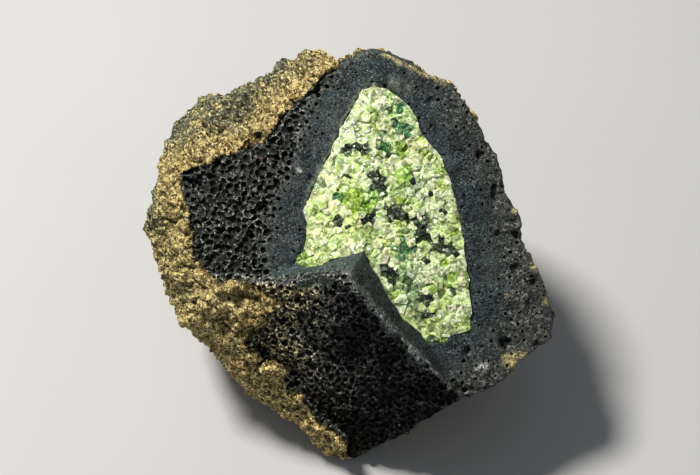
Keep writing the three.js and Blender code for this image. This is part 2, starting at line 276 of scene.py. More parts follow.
class Zones:
    """What the surface of the basalt is like at points of the scene."""

    def __init__(self, points, normals):
        self.face = on_face(points)
        self.turned = normals @ np.array(FACE)[:3, :3]
        self.uneven = bumps(points, UNEVEN, 5.5)
        ragged = np.stack([bumps(points, RAGGED, seed) for seed in (3.1, 9.4)], axis=1)
        self.seen = as_seen(self.face) + 0.9 * ragged
        self.from_nodule = outside(NODULE_EDGE, self.seen)
        torn = ramp("torn v", self.seen[:, 1]) * bumps(points, TORN, 12.2)
        self.inwards = -outside(BROKEN_SIDE, self.seen) + 4 * torn
        height = above_breaks(self.face) + 1.6 * self.uneven + 0.6 * ragged[:, 0]
        self.broken = ramp("broken", height) * (self.inwards > 0)
        deepest, highest = POCKET_DEPTHS
        depth = self.face[:, 2]
        self.pocket = (self.from_nodule < -0.3) & (depth < highest) & (depth > deepest)
        self.broken[self.pocket] = 1
        self.find_front()
        self.find_foam()
        self.find_tints()

    def facing(self, name):
        """How far the surface is turned towards the way that a break faces."""
        return ramp("faces " + name, self.turned @ normal_of(name))

    def find_front(self):
        """The foamy front of the block: where it is, where it is stained, and its painted light and
        shade, lighter at the top and by the crust, darker below.
        """
        u, v = self.seen.T
        height = above_break("front", self.face)
        front = self.facing("front") * ramp("front height", height) * (v < 2)
        away = self.from_nodule + 2 * self.uneven
        self.front = front * ramp("front from nodule", away) * self.broken
        stained = ramp("stained inwards", self.inwards + 6 * self.uneven) * ramp("stained v", v)
        self.stained = stained * front * self.broken
        # Painted light: the front is drawn lighter at its top and by the crust, and near black lower
        # down.
        at_crust = ramp("lit inwards", self.inwards + 3 * self.uneven) * ramp("lit at crust v", v)
        self.lit = np.maximum(0.9 * ramp("lit v", v + 4 * self.uneven), 2.4 * at_crust)
        ridge = ramp("ridge height", height + 2 * self.uneven)
        ridge *= ramp("ridge u", u) * ramp("ridge from nodule", self.from_nodule)
        foam = ramp("foam", self.from_nodule - 9 - 2.5 * self.uneven)
        self.foam = np.maximum(foam, ridge) * (1 - front)

    def find_foam(self):
        """The foam on each side of the broken face, the facets of the block and its crest."""
        left = ramp("left u", self.seen[:, 0])
        self.left = self.foam * left * self.broken
        self.right = self.foam * (1 - left) * self.broken
        self.upper = self.facing("upper")
        self.flank = self.facing("flank")
        # Painted shade: the left of the broken face, save the upper facet, and the flank are drawn
        # darker.
        self.side = np.maximum(left * (1 - self.upper), self.flank) * self.broken
        # The crest is where the ridge of the block gets a painted highlight.
        self.crest = self.broken
        for name in ("front", "flank"):
            self.crest = self.crest * ramp("crest height", above_break(name, self.face))

    def find_tints(self):
        """Where the crust is rusty or grey green, and where crystal dust lies on the rock."""
        u, v = self.seen.T
        # The low crust is drawn lighter, as painted light, and more orange.
        self.low = ramp("low v", v)
        edging = ramp("edging", self.inwards + 2 * self.uneven) * (1 - self.broken)
        self.edging = np.maximum(edging, 0.8 * self.low)
        self.patina = ramp("patina", self.inwards + 3 * self.uneven) * ramp("patina v", v)
        dusty = ramp("dust from nodule", self.from_nodule) * ramp("dust v", v) * ramp("dust u", u)
        self.dusty = dusty * self.broken


def read(items, name, kind, width=3):
    """What each vertex, edge or triangle holds under a name, as the rows of an array."""
    flat = np.empty(len(items) * width, kind)
    items.foreach_get(name, flat)
    return flat.reshape(-1, width)


def points_of(mesh):
    return read(mesh.vertices, "co", np.float32).astype(float)


def normals_of(mesh):
    return read(mesh.vertex_normals, "vector", np.float32).astype(float)


def triangles_of(mesh):
    mesh.calc_loop_triangles()
    return read(mesh.loop_triangles, "vertices", np.int32)


def move_points(mesh, points):
    mesh.vertices.foreach_set("co", points.astype(np.float32).ravel())
    mesh.update()


def across(points, corners):
    """The cross product of two sides of each triangle."""
    sides = points[corners]
    return np.cross(sides[:, 1] - sides[:, 0], sides[:, 2] - sides[:, 0])


def raised(mesh, rounds):
    """How far each vertex stands out of the surface around it, in millimetres."""
    points, normals = points_of(mesh), normals_of(mesh)
    ends = read(mesh.edges, "vertices", np.int32, 2)
    start, end = ends.T
    count = np.bincount(ends.ravel(), minlength=len(points))
    around = points.copy()
    for _ in range(rounds):
        total = np.zeros_like(points)
        np.add.at(total, start, around[end])
        np.add.at(total, end, around[start])
        around = (around + total) / (1 + count)[:, None]
    return ((points - around) * normals).sum(axis=1) / MM


def mesh_of(bm, name):
    """A mesh of a shape, which is then let go."""
    mesh = bpy.data.meshes.new(name)
    bm.to_mesh(mesh)
    bm.free()
    return mesh


def add_number(mesh, name, values):
    """Keeps a number at each vertex for the material to read."""
    attribute = mesh.attributes.new(name, "FLOAT", "POINT")
    attribute.data.foreach_set("value", np.asarray(values, np.float32))


def add_colours(mesh, name, domain, colours):
    """Keeps a colour at each vertex or corner for the material to read."""
    attribute = mesh.attributes.new(name, "FLOAT_COLOR", domain)
    attribute.data.foreach_set("color", colours.astype(np.float32).ravel())


def spot_colours(zones, settings):
    """The colour of the spot or dust that each point is in, and its share there."""
    colours = np.tile((*settings.dust, 0), (len(zones.seen), 1))
    colours[:, 3] = zones.dusty
    for name, u, v, reach in each_spot(ROCK_SPOTS):
        apart = np.hypot(zones.seen[:, 0] - u, zones.seen[:, 1] - v)
        share = smoothstep(apart, 1.3 * reach, 0.6 * reach)
        top = zones.face[apart < reach, 2].max(initial=-99)
        share *= smoothstep(zones.face[:, 2], top - reach - 1.5, top - reach + 0.5)
        within = share > colours[:, 3]
        colours[within, :3] = getattr(settings, name)
        colours[within, 3] = share[within]
    return colours


def new_object(name, mesh):
    piece = bpy.data.objects.new(name, mesh)
    bpy.context.scene.collection.objects.link(piece)
    return piece


def welded(node):
    """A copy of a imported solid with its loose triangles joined."""
    bm = bmesh.new()
    bm.from_mesh(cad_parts[node].data)
    bmesh.ops.remove_doubles(bm, verts=bm.verts, dist=WELD)
    return bm


def apply_modifiers(piece):
    graph = bpy.context.evaluated_depsgraph_get()
    mesh = bpy.data.meshes.new_from_object(piece.evaluated_get(graph))
    piece.modifiers.clear()
    piece.data = mesh


def joined(name, shapes):
    """One mesh of many shapes, each a pair of arrays: its points and its triangles."""
    starts = np.cumsum([0] + [len(points) for points, _ in shapes[:-1]])
    points = np.concatenate([points for points, _ in shapes])
    faces = np.concatenate([faces + start for (_, faces), start in zip(shapes, starts)])
    mesh = bpy.data.meshes.new(name)
    mesh.from_pydata(points.tolist(), [], faces.tolist())
    return mesh


def combine(piece, steps):
    """Changes a piece by boolean steps, each an operation and the shapes that it is done with."""
    helpers = []
    for operation, shapes in steps:
        helper = new_object("helper", joined("helper", shapes))
        boolean = piece.modifiers.new("boolean", "BOOLEAN")
        boolean.operation = operation
        boolean.solver = "MANIFOLD"
        boolean.object = helper
        helpers.append(helper)
    apply_modifiers(piece)
    for helper in helpers:
        bpy.data.objects.remove(helper)


def arrays_of(bm):
    """The points and triangles of a shape, which is then let go."""
    bmesh.ops.triangulate(bm, faces=bm.faces)
    bmesh.ops.recalc_face_normals(bm, faces=bm.faces)
    bm.verts.index_update()
    points = np.array([vert.co[:] for vert in bm.verts])
    faces = np.array([[vert.index for vert in face.verts] for face in bm.faces])
    bm.free()
    return points, faces


def ball(detail):
    """The points and triangles of a ball of radius 1."""
    bm = bmesh.new()
    bmesh.ops.create_icosphere(bm, subdivisions=detail, radius=1)
    return arrays_of(bm)


class Number:
    """A socket that holds a number over the surface, so that formulas can be written with it."""

    def __init__(self, look, socket):
        self.look = look
        self.socket = socket

    def math(self, operation, *terms):
        return self.look.node("Math", {"operation": operation}, dict(enumerate(terms)))

    def __add__(self, other):
        return self.math("ADD", self, other)

    def __sub__(self, other):
        return self.math("SUBTRACT", self, other)

    def __rsub__(self, other):
        return self.math("SUBTRACT", other, self)

    def __mul__(self, other):
        return self.math("MULTIPLY", self, other)

    __radd__ = __add__
    __rmul__ = __mul__

    def step(self, low, high):
        """A smooth step from 0 at low to 1 at high."""
        values = {"Value": self, "From Min": low, "From Max": high}
        return self.look.node("MapRange", {"interpolation_type": "SMOOTHSTEP"}, values)


class Look:
    """A material, whose nodes are all made by the node method."""

    def __init__(self, name, **constants):
        self.material = bpy.data.materials.new(name)
        self.material.use_nodes = True
        self.tree = self.material.node_tree
        self.shared = None
        self.shader = self.tree.nodes["Principled BSDF"]
        for name, value in constants.items():
            socket = name.replace("_", " ").title().replace("Ior", "IOR")
            self.shader.inputs[socket].default_value = value
        self.place = self.node("TexCoord", output="Object")

    def node(self, kind, settings=None, values=None, output=0):
        node = self.tree.nodes.new("ShaderNode" + kind)
        for name, setting in (settings or {}).items():
            setattr(node, name, setting)
        for name, value in (values or {}).items():
            if isinstance(value, Number):
                self.tree.links.new(value.socket, node.inputs[name])
            else:
                node.inputs[name].default_value = value
        return Number(self, node.outputs[output])

    def stored(self, name, output="Fac"):
        return self.node("Attribute", {"attribute_name": name}, output=output)

    def scaled(self, vector, share):
        """A colour or a place times a number."""
        return self.node("VectorMath", {"operation": "SCALE"}, {0: vector, "Scale": share})

    def noise(self, size, detail=2.0, rough=0.5, output=0):
        values = {"Vector": self.place, "Scale": 1 / size, "Detail": detail, "Roughness": rough}
        return self.node("TexNoise", None, values, output)

    def cells(self, size, feature="F1", bent=0):
        """The distance from the middle or edge of cells of a size, with their walls bent."""
        aside = self.scaled(self.noise(size, 2, 0.5, "Color"), bent)
        place = self.node("VectorMath", None, {0: self.place, 1: aside})
        values = {"Vector": place, "Scale": 1 / size}
        return self.node("TexVoronoi", {"feature": feature}, values)

    def chips(self, size):
        """A random number for each flat chip of a broken crystal, and the height of its slope."""
        values = {"Vector": self.place, "Scale": 1 / size}
        colour = self.node("TexVoronoi", None, values, "Color")
        middle = self.node("TexVoronoi", None, values, "Position")
        subtract, dot = {"operation": "SUBTRACT"}, {"operation": "DOT_PRODUCT"}
        aside = self.node("VectorMath", subtract, {0: self.scaled(self.place, 1 / size), 1: middle})
        tilt = self.node("VectorMath", subtract, {0: colour, 1: (0.5, 0.5, 0.5)})
        slope = self.node("VectorMath", dot, {0: aside, 1: tilt}, "Value")
        return self.node("SeparateColor", None, {"Color": colour}), slope

    def patterns(self, settings):
        """The patterns that the whole stone shares, each made once."""
        if not self.shared:
            fine = self.noise(settings.fine, 4, 0.7)
            patchy = self.noise(settings.patches, 4, 0.6)
            self.shared = fine, patchy, self.chips(settings.chip), self.chips(settings.crumb)
        return self.shared

    def mix(self, share, first, second):
        values = {0: share, 6: as_colour(first), 7: as_colour(second)}
        return self.node("Mix", {"data_type": "RGBA"}, values, 2)

    def finish(self, colour, roughness, height=None, relief=0.2 * MM):
        self.tree.links.new(colour.socket, self.shader.inputs["Base Color"])
        self.tree.links.new(roughness.socket, self.shader.inputs["Roughness"])
        if height is not None:
            bump = self.node("Bump", None, {"Height": height, "Distance": relief})
            self.tree.links.new(bump.socket, self.shader.inputs["Normal"])
        return self.material


def as_colour(value):
    return value if isinstance(value, Number) else (*value, 1)


def colour(name, description, default):
    options = {"subtype": "COLOR", "size": 3, "min": 0, "max": 1}
    return FloatVectorProperty(name=name, description=description, default=default, **options)


def length(name, description, millimetres):
    options = {"unit": "LENGTH", "subtype": "DISTANCE", "precision": 5, "min": 0}
    return FloatProperty(name=name, description=description, default=millimetres * MM, **options)


class BasaltSettings(bpy.types.PropertyGroup):
    voxel: length("Weave", "Width of the squares that the solid is first made of", 0.5)
    faces: IntProperty(name="Faces", description="Triangles of the finished piece", default=194000)
    smallest: length("Smallest bubble", "Radius of the smallest open bubble", 0.28)
    largest: length("Largest bubble", "Radius of the largest open bubble", 1.15)
    lump: length("Lumps", "Width of the lumps of the crust", 5.5)
    knob: length("Knobs", "Width of the knobs on the lumps of the crust", 2.3)
    grain: length("Grains", "Width of the grains of the crust", 1.1)
    fine: length("Grit", "Width of the finest grit", 0.5)
    crumb: length("Crumbs", "Width of the smaller flat chips", 0.35)
    chip: length("Chips", "Width of the larger flat chips", 0.65)
    web: length("Web", "Width of the smallest bubbles, which are colour alone", 0.75)
    pit: length("Pits", "Distance between the dark pits of the dense rock", 1)
    patches: length("Patches", "Width of the darker patches", 5)
    rock: colour("Rock", "Dense basalt of the broken faces", (0.043, 0.068, 0.066))
    # Shade is both the darker patches and the painted shade of the left of the broken face and the
    # flank.
    shade: colour("Shade", "Darker patches of the dense basalt", (0.021, 0.037, 0.037))
    # Painted highlight on the rims of the bubbles and along the crest of the block.
    edge_highlight: colour("Worn", "Worn edges of the dense basalt", (0.66, 0.68, 0.60))
    specks: colour("Specks", "Small pale crystals in the basalt", (0.62, 0.64, 0.58))
    # Painted highlight: the walls are drawn far paler than the rock they are made of.
    wall: colour("Wall", "Thin walls between the smallest bubbles", (0.30, 0.32, 0.27))
    # Painted shade: the inside of the bubbles and pits is drawn near black.
    hollow: colour("Hollow", "Inside of the bubbles", (0.008, 0.009, 0.008))
    crust: colour("Crust", "Weathered crust", (0.41, 0.33, 0.12))
    # Gold is also painted highlight: the glints on the stained walls and rims, and partly the bright
    # grains of the crust.
    gold: colour("Gold", "Bright grains of the crust", (0.79, 0.67, 0.31))
    rust: colour("Rust", "Brown places of the crust", (0.20, 0.145, 0.05))
    olive: colour("Olive", "Grey green places of the crust", (0.12, 0.15, 0.11))
    orange: colour("Orange", "Rusty places of the crust at the breaks", (0.54, 0.34, 0.12))
    blue: colour("Blue", "Blue grey patches of the basalt", (0.05, 0.10, 0.115))
    dust: colour("Dust", "Crystal dust on the rock around the nodule", (0.20, 0.23, 0.18))
    pink: colour("Pink", "Small rusty red places", (0.80, 0.42, 0.28))
    # Also painted shade in the crevices of the crust and inside the smallest bubbles of the stained
    # front.
    gaps_and_crevice_shade: colour("Gaps", "Dark gaps between the grains of the crust", (0.035, 0.030, 0.014))


class OlivineSettings(bpy.types.PropertyGroup):
    spacing: length("Spacing", "Distance between the middles of the larger grains", 4.6)
    smaller: length("Smaller", "Distance between the middles of the smaller grains", 2)
    thickness: length("Thickness", "How deep the layer of grains is", 4.5)
    bed: length("Bed", "How far under the face the bed of the grains lies", 3)
    fine: length("Grit", "Width of the finest grit", 0.3)
    splinter: length("Splinters", "Width of the smaller flat chips", 0.6)
    chip: length("Chips", "Width of the larger flat chips", 1.8)
    clouds: length("Clouds", "Width of the cloudy places", 2.2)
    fresh: colour("Fresh", "Most of the grains", (0.61, 0.83, 0.27))
    pale: colour("Pale", "Pale and shattered grains", (0.82, 0.94, 0.48))
    frost: colour("Frost", "Crushed places of the grains", (0.92, 1.0, 0.64))
    lime: colour("Lime", "Deep yellow green grains", (0.42, 0.66, 0.09))
    bottle: colour("Bottle", "Deep green grains", (0.17, 0.30, 0.10))
    emerald: colour("Emerald", "Bright green grains", (0.05, 0.25, 0.07))
    dark: colour("Dark", "Black and bottle green grains", (0.010, 0.028, 0.009))
    cream: colour("Cream", "Weathered grains at the rim", (0.90, 0.90, 0.52))
    brown: colour("Brown", "Stained grains", (0.45, 0.16, 0.04))
    glint: colour("Glint", "Splinters that catch the light", (0.9, 0.95, 0.8))


class StageSettings(bpy.types.PropertyGroup):
    width: length("Width", "Width of the floor", 6000)
    cloud: length("Clouds", "Width of the faint clouds of the floor", 80)
    lamp: length("Lamp", "Width of the main light", 200)
    away: length("Away", "Distance of the main light", 900)
    floor: colour("Floor", "The plain floor", (0.42, 0.42, 0.415))
    glow: colour("Glow", "Colour of the main light", (1, 0.97, 0.92))
    room: colour("Room", "Colour of the light all round", (0.86, 0.92, 1))
    key: FloatProperty(name="Key", description="Power of the main light", default=14.5, unit="POWER")
    fill: FloatProperty(name="Fill", description="Strength of the light all round", default=0.25)


def relief_of(points, zones, settings):
    """How far the crust and the breaks stand out at each point, in millimetres."""
    rough = 0.35 * bumps(points, ROUGH) + 0.14 * bumps(points, FINE_ROUGH, 2.2)
    clinker = 0.8 * bumps(points, CLINKER, 1.7) + 0.5 * bumps(points, FINE_CLINKER, 6.1)
    coarse = np.maximum(zones.front, 0.6 * np.maximum(zones.left, zones.right))
    clinker *= np.maximum(coarse, 0.3 * np.maximum(zones.upper, zones.flank))
    height = 1 + 0.7 * bumps(points, SWELL, 7.7)
    sand = 1.4 * height * lumps(points, settings.lump) + 0.9 * lumps(points, settings.knob, 4.4)
    sand += 0.35 * lumps(points, settings.grain, 8.8) + 0.6 * bumps(points, SAND, 3.8) - 1
    relief = zones.broken * (rough + clinker) + (1 - zones.broken) * sand
    relief[zones.pocket] = 0
    return relief


def evened_copy(settings):
    """The bomb as a fine even mesh, with the relief of its crust and its breaks."""
    piece = new_object("basalt", mesh_of(welded(BOMB), "basalt"))
    even = piece.modifiers.new("even", "REMESH")
    even.mode = "VOXEL"
    even.voxel_size = settings.voxel
    apply_modifiers(piece)
    points, normals = points_of(piece.data), normals_of(piece.data)
    relief = relief_of(points, Zones(points, normals), settings)
    points += normals * (relief * MM)[:, None]
    points[:, 2] = np.maximum(points[:, 2], 0)
    move_points(piece.data, points)
    return piece


def thin_out(piece, faces):
    """Leaves fewer and larger triangles, above all at the back and in the nodule's pocket."""
    zones = Zones(points_of(piece.data), normals_of(piece.data))
    keep = 0.2 + 0.7 * ramp("kept detail w", zones.face[:, 2])
    keep[zones.pocket] = 0.02
    group = piece.vertex_groups.new(name="detail")
    for index, weight in enumerate(keep):
        group.add([index], float(weight), "REPLACE")
    thin = piece.modifiers.new("thin", "DECIMATE")
    thin.ratio = faces / len(triangles_of(piece.data))
    thin.vertex_group = group.name
    thin.vertex_group_factor = 2.5e-4
    thin.invert_vertex_group = True
    apply_modifiers(piece)
    piece.vertex_groups.clear()


def deep_holes(skin):
    """The holes that are listed, each where the camera sees it on the surface."""
    eye = FACE @ Vector((0, 0, SEEN_FROM * MM))
    for u, v, radius in HOLES:
        towards = FACE @ (Vector((u, v, 0)) * MM) - eye
        place, normal, _, _ = skin.ray_cast(eye, towards)
        if place is None:
            raise RuntimeError("A deep hole lies beside the stone")
        yield np.array(place), np.array(normal), radius * MM, 0.4, 1


def tried_bubbles(mesh, settings):
    """Bubbles to try, large ones first: place, way out, radius, how far sunk and how crowded."""
    points, normals, corners = points_of(mesh), normals_of(mesh), triangles_of(mesh)
    zones = Zones(points, normals)
    open_rock = np.maximum(zones.left, zones.front)
    likely = 0.013 * zones.broken + open_rock + 0.1 * zones.right
    likely[zones.pocket] = 0
    areas = np.linalg.norm(across(points, corners), axis=1)
    chances = areas * likely[corners].mean(axis=1)
    chooser = np.random.default_rng(5)
    picked = chooser.choice(len(corners), BUBBLE_TRIES, p=chances / chances.sum())
    weights = chooser.dirichlet((1, 1, 1), BUBBLE_TRIES)[:, :, None]
    places = (points[corners[picked]] * weights).sum(axis=1)
    outwards = (normals[corners[picked]] * weights).sum(axis=1)
    crowded = open_rock[corners[picked]].mean(axis=1)
    span = settings.largest - settings.smallest
    share = np.linspace(1, 0, BUBBLE_TRIES) ** 7
    radii = settings.smallest + span * share * (0.4 + 0.6 * crowded)
    sunk = chooser.uniform(-0.15, 0.5, BUBBLE_TRIES)
    return zip(places, outwards, radii, sunk, crowded)


def spread_bubbles(mesh, skin, settings):
    """Bubbles on the surface: crowded where the rock is foam, rare where it's dense."""
    tried = (*deep_holes(skin), *tried_bubbles(mesh, settings))
    middles = np.empty((len(tried), 3))
    sizes = np.empty(len(tried))
    groups = np.empty(len(tried), int)
    count = 0
    for place, outward, radius, sink, crowded in tried:
        middle = place - outward * radius * sink
        apart = np.linalg.norm(middles[:count] - middle, axis=1)
        room = 0.72 + 0.68 * (1 - crowded)
        if np.any(apart < room * (sizes[:count] + radius)):
            continue
        near = set(groups[:count][apart < 1.6 * (sizes[:count] + radius)])
        middles[count] = middle
        sizes[count] = radius
        groups[count] = next(group for group in range(99) if group not in near)
        count += 1
    return middles[:count], sizes[:count], groups[:count]


def cut_bubbles(piece, middles, sizes, groups):
    """Cuts uneven balls out of a piece, in groups in which none touches another."""
    fine, plain = ball(2), ball(1)
    draw = random.Random(8)
    shapes = [[] for _ in range(groups.max() + 1)]
    for middle, radius, group in zip(middles, sizes, groups):
        points, faces = fine if radius > 0.5 * MM else plain
        turn = Euler([draw.uniform(0, 6) for _ in range(3)]).to_matrix()
        stretch = Matrix.Diagonal([draw.uniform(0.7, 1.3) for _ in range(3)])
        shape = np.array(turn @ stretch @ turn.transposed()) * radius
        dents = np.array([draw.uniform(0.86, 1.12) for _ in points])[:, None]
        shapes[group].append(((points * dents) @ shape.T + middle, faces))
    combine(piece, [("DIFFERENCE", several) for several in shapes])


def drop_crumbs(mesh):
    """Removes the crumbs that the bubbles cut loose from the stone."""
    bm = bmesh.new()
    bm.from_mesh(mesh)
    unseen = set(bm.verts)
    islands = []
    while unseen:
        island = [unseen.pop()]
        for vert in island:
            others = {edge.other_vert(vert) for edge in vert.link_edges} & unseen
            unseen -= others
            island.extend(others)
        islands.append(island)
    islands.sort(key=len)
    crumbs = [vert for island in islands[:-1] for vert in island]
    bmesh.ops.delete(bm, geom=crumbs, context="VERTS")
    bm.to_mesh(mesh)
    bm.free()


def rock_colour(look, settings, hollow, foam):
    """The broken rock: dense and gritty, or foam with thin walls, and the relief of its pits; pits
    and bubbles get painted shade, walls and rims painted highlights.
    """
    fine, patchy, (grain, _), (crumb, _) = look.patterns(settings)
    pits = 1 - look.cells(settings.pit).step(0.16, 0.26)
    pits = pits * look.noise(3 * settings.pit).step(0.42, 0.58)
    web = look.cells(settings.web, "DISTANCE_TO_EDGE", bent=settings.fine)
    wall = 1 - web.step(0.02, 0.12)
    # Painted glints: sparse cells drawn bright on the walls and rims.
    glint = grain.step(0.45, 0.85) * fine.step(0.42, 0.58)
    grit = (fine * 0.6 + crumb * 0.4).step(0.3, 0.75) - 0.5
    rough = look.noise(8 * MM, 3, 0.6).step(0.35, 0.65) * 0.8 + 0.6
    rock = look.mix(patchy.step(0.35, 0.68), settings.rock, settings.shade)
    # Painted shade on the left of the broken face and on the flank.
    rock = look.mix(look.stored("side") * 0.8, rock, settings.shade)
    rock = look.scaled(rock, 1 + grit * rough * 1.5)
    # Painted shade: the small pits are colour and bump alone, drawn in the dark of the bubbles.
    rock = look.mix(pits, rock, settings.hollow)
    # Painted shade inside the smallest bubbles, with painted highlights on their walls.
    sponge = look.mix(wall * (0.25 + glint * 0.75), settings.hollow, settings.wall)
    # The same on the stained front: painted shade inside, crust colour and gold glints on the walls.
    gilt = look.mix(wall * grain.step(0.2, 0.8), settings.gaps_and_crevice_shade, settings.crust)
    gilt = look.mix(wall * glint, gilt, settings.gold)
    sponge = look.mix(look.stored("stained") * patchy.step(0.3, 0.5), sponge, gilt)
    rock = look.mix(foam * 0.85, rock, sponge)
    # Painted highlights on the rims and the crest, gold where the front is stained.
    edge_highlight = look.mix(look.stored("stained"), settings.edge_highlight, settings.gold)
    rock = look.mix(look.stored("rims") * (0.12 + glint * 0.75), rock, edge_highlight)
    # Painted shade: the deeper a point lies in a bubble, the darker it is drawn.
    rock = look.mix(hollow, rock, settings.hollow)
    return rock, foam * wall * 0.8 - pits * 0.6


def spotted(look, settings, rock, specks):
    """The broken rock with its pale crystals and stains, scaled by painted light and shade: darker
    down the front and on the flank, lighter on the upper facet.
    """
    fine, _, (grain, _), _ = look.patterns(settings)
    rock = look.mix(specks * 0.7, rock, settings.specks)
    spot = look.stored("spots", "Alpha") * fine.step(0.35, 0.55)
    stain = look.scaled(look.stored("spots", "Color"), 0.4 + grain * 0.8)
    rock = look.mix(spot, rock, stain)
    return look.scaled(rock, 0.05 + 0.95 * look.stored("lit"))


def crust_colour(look, settings):
    """The crust: rusty and grey green places, with bright grains, dark gaps between them, painted
    shade in its crevices and painted light on its low part.
    """
    fine, _, (grain, _), (crumb, _) = look.patterns(settings)
    low = look.stored("low")
    brown = look.noise(3.2 * MM, 4, 0.7).step(0.42, 0.6)
    crust = look.mix(brown, settings.rust, settings.crust)
    edging = look.stored("edging") * look.noise(2.6 * MM, 3, 0.6).step(0.45, 0.6)
    crust = look.mix(edging * 0.8, crust, settings.orange)
    patina = look.stored("patina") * look.noise(7 * MM, 3, 0.6).step(0.32, 0.5)
    crust = look.mix(patina * 0.85, crust, settings.olive)
    bright = grain * 0.6 + crumb * 0.5 + fine * 0.7 - patina * 0.15 - low * 0.07
    # Bright grains of the crust, partly painted highlights.
    crust = look.mix(bright.step(0.9, 1.3), crust, settings.gold)
    crust = look.mix(1 - bright.step(0.5, 0.9), crust, settings.gaps_and_crevice_shade)
    # Painted shade in the crevices of the crust.
    sunk = 1 - look.stored("raised").step(-0.35, -0.04)
    crust = look.mix(sunk * 0.6, crust, settings.gaps_and_crevice_shade)
    # Painted light: the low crust, which faces away from the lamp, is drawn lighter.
    return look.scaled(crust, 1 + low * 0.4)


def basalt_look(settings):
    look = Look("basalt", specular_ior_level=0.25)
    weathered = 1 - look.stored("broken")
    hollow = look.stored("hollow")
    fine, _, (_, grains), (crumb, crumbs) = look.patterns(settings)
    specks = 1 - look.cells(settings.fine).step(0.14, 0.26)
    specks = specks * crumb.step(0.5, 0.9) * (1 - hollow)
    rock, sponge = rock_colour(look, settings, hollow, look.stored("foam"))
    rock = spotted(look, settings, rock, specks)
    colour = look.mix(weathered, rock, crust_colour(look, settings))
    roughness = 0.55 + weathered * 0.3 + hollow * 0.1 - specks * 0.3
    rubble = grains + crumbs * 0.6 + fine * 0.3
    height = rubble * (0.35 + 0.65 * weathered) + sponge
    return look.finish(colour, roughness, height, 0.5 * MM)


def store_zones(mesh, skin, settings):
    """Keeps what the surface is like at each vertex, for the material to read."""
    points = points_of(mesh)
    zones = Zones(points, normals_of(mesh))
    depth = np.array([skin.find_nearest(Vector(point))[3] for point in points]) / MM
    # Painted light and shade: the front by its painted light, the upper facet lighter and the flank
    # darker.
    lit = 1 + zones.front * (1.5 * zones.lit - 1)
    open_rock = np.maximum(zones.front, np.maximum(zones.left, 0.5 * zones.right))
    # Painted highlight: the rims of bubbles and the crest of the block are marked for pale glints.
    rims = ramp("rims", raised(mesh, 1)) * open_rock + 0.8 * zones.crest
    for name in ("broken", "stained", "side", "low", "edging", "patina"):
        add_number(mesh, name, getattr(zones, name))
    # Painted shade: how deep each point lies under the surface that the bubbles were cut from.
    add_number(mesh, "hollow", ramp("hollow", depth))
    add_number(mesh, "foam", zones.front + zones.left + zones.right)
    add_number(mesh, "lit", lit * (1 + 0.3 * zones.upper - 0.25 * zones.flank))
    add_number(mesh, "raised", raised(mesh, 3))
    add_number(mesh, "rims", np.minimum(rims, 1))
    add_colours(mesh, "spots", "POINT", spot_colours(zones, settings))


class NODULE_OT_basalt(bpy.types.Operator):
    """Makes the broken bomb: its crust, its rough breaks and the bubbles open on them"""
    bl_idname = "nodule.basalt"
    bl_label = "Make the basalt"

    def execute(self, context):
        settings = context.scene.basalt
        piece = evened_copy(settings)
        whole = points_of(piece.data).tolist()
        skin = bvhtree.BVHTree.FromPolygons(whole, triangles_of(piece.data).tolist())
        cut_bubbles(piece, *spread_bubbles(piece.data, skin, settings))
        thin_out(piece, settings.faces)
        drop_crumbs(piece.data)
        store_zones(piece.data, skin, settings)
        piece.data.set_sharp_from_angle(angle=math.radians(42))
        piece.data.materials.clear()
        piece.data.materials.append(basalt_look(settings))
        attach(piece, "root")
        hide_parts(BOMB)
        return {"FINISHED"}


def packed_seeds(settings):
    """Middles of grains in a thick layer at the nodule's face, crowded where grains are small."""
    edge = np.array(NODULE_EDGE)
    low, high = edge.min(axis=0) - 4, edge.max(axis=0) + 4
    chooser = np.random.default_rng(3)
    depth = settings.thickness / MM
    tries = chooser.uniform((*low, -depth - 12), (*high, 8), (GRAIN_TRIES, 3))
    height = above_face(tries)
    near = (height > -depth) & (height < 3) & (outside(NODULE_EDGE, as_seen(tries)) < 2.5)
    tries = tries[near]
    seen = as_seen(tries)
    small = ramp("small grains", bumps(tries, 5.5, 3.3) + chooser.uniform(-0.5, 0.5, len(tries)))
    least = (settings.spacing + (settings.smaller - settings.spacing) * small) / MM
    for name, u, v, reach in each_spot(GRAIN_SPOTS):
        if name in ("dark", "emerald", "brown"):
            apart = np.hypot(seen[:, 0] - u, seen[:, 1] - v)
            least[apart < reach + 2] = np.minimum(least[apart < reach + 2], 2)
            least[apart < reach + 0.4] = 1.2
    order = np.argsort(-least, kind="stable")
    kept = np.empty((len(tries), 3))
    count = 0
    for place, apart in zip(tries[order], least[order]):
        if not count or np.min(np.sum((kept[:count] - place) ** 2, axis=1)) > apart ** 2:
            kept[count] = place
            count += 1
    return kept[:count]


def cut_off(bm, place, outward):
    """Cuts a closed shape with a plane, drops what is outward of it and closes the cut."""
    whole = [*bm.verts, *bm.edges, *bm.faces]
    cut = bmesh.ops.bisect_plane(bm, geom=whole, plane_co=place, plane_no=outward, clear_outer=True)
    edges = [part for part in cut["geom_cut"] if isinstance(part, bmesh.types.BMEdge)]
    if edges:
        bmesh.ops.edgeloop_fill(bm, edges=edges)


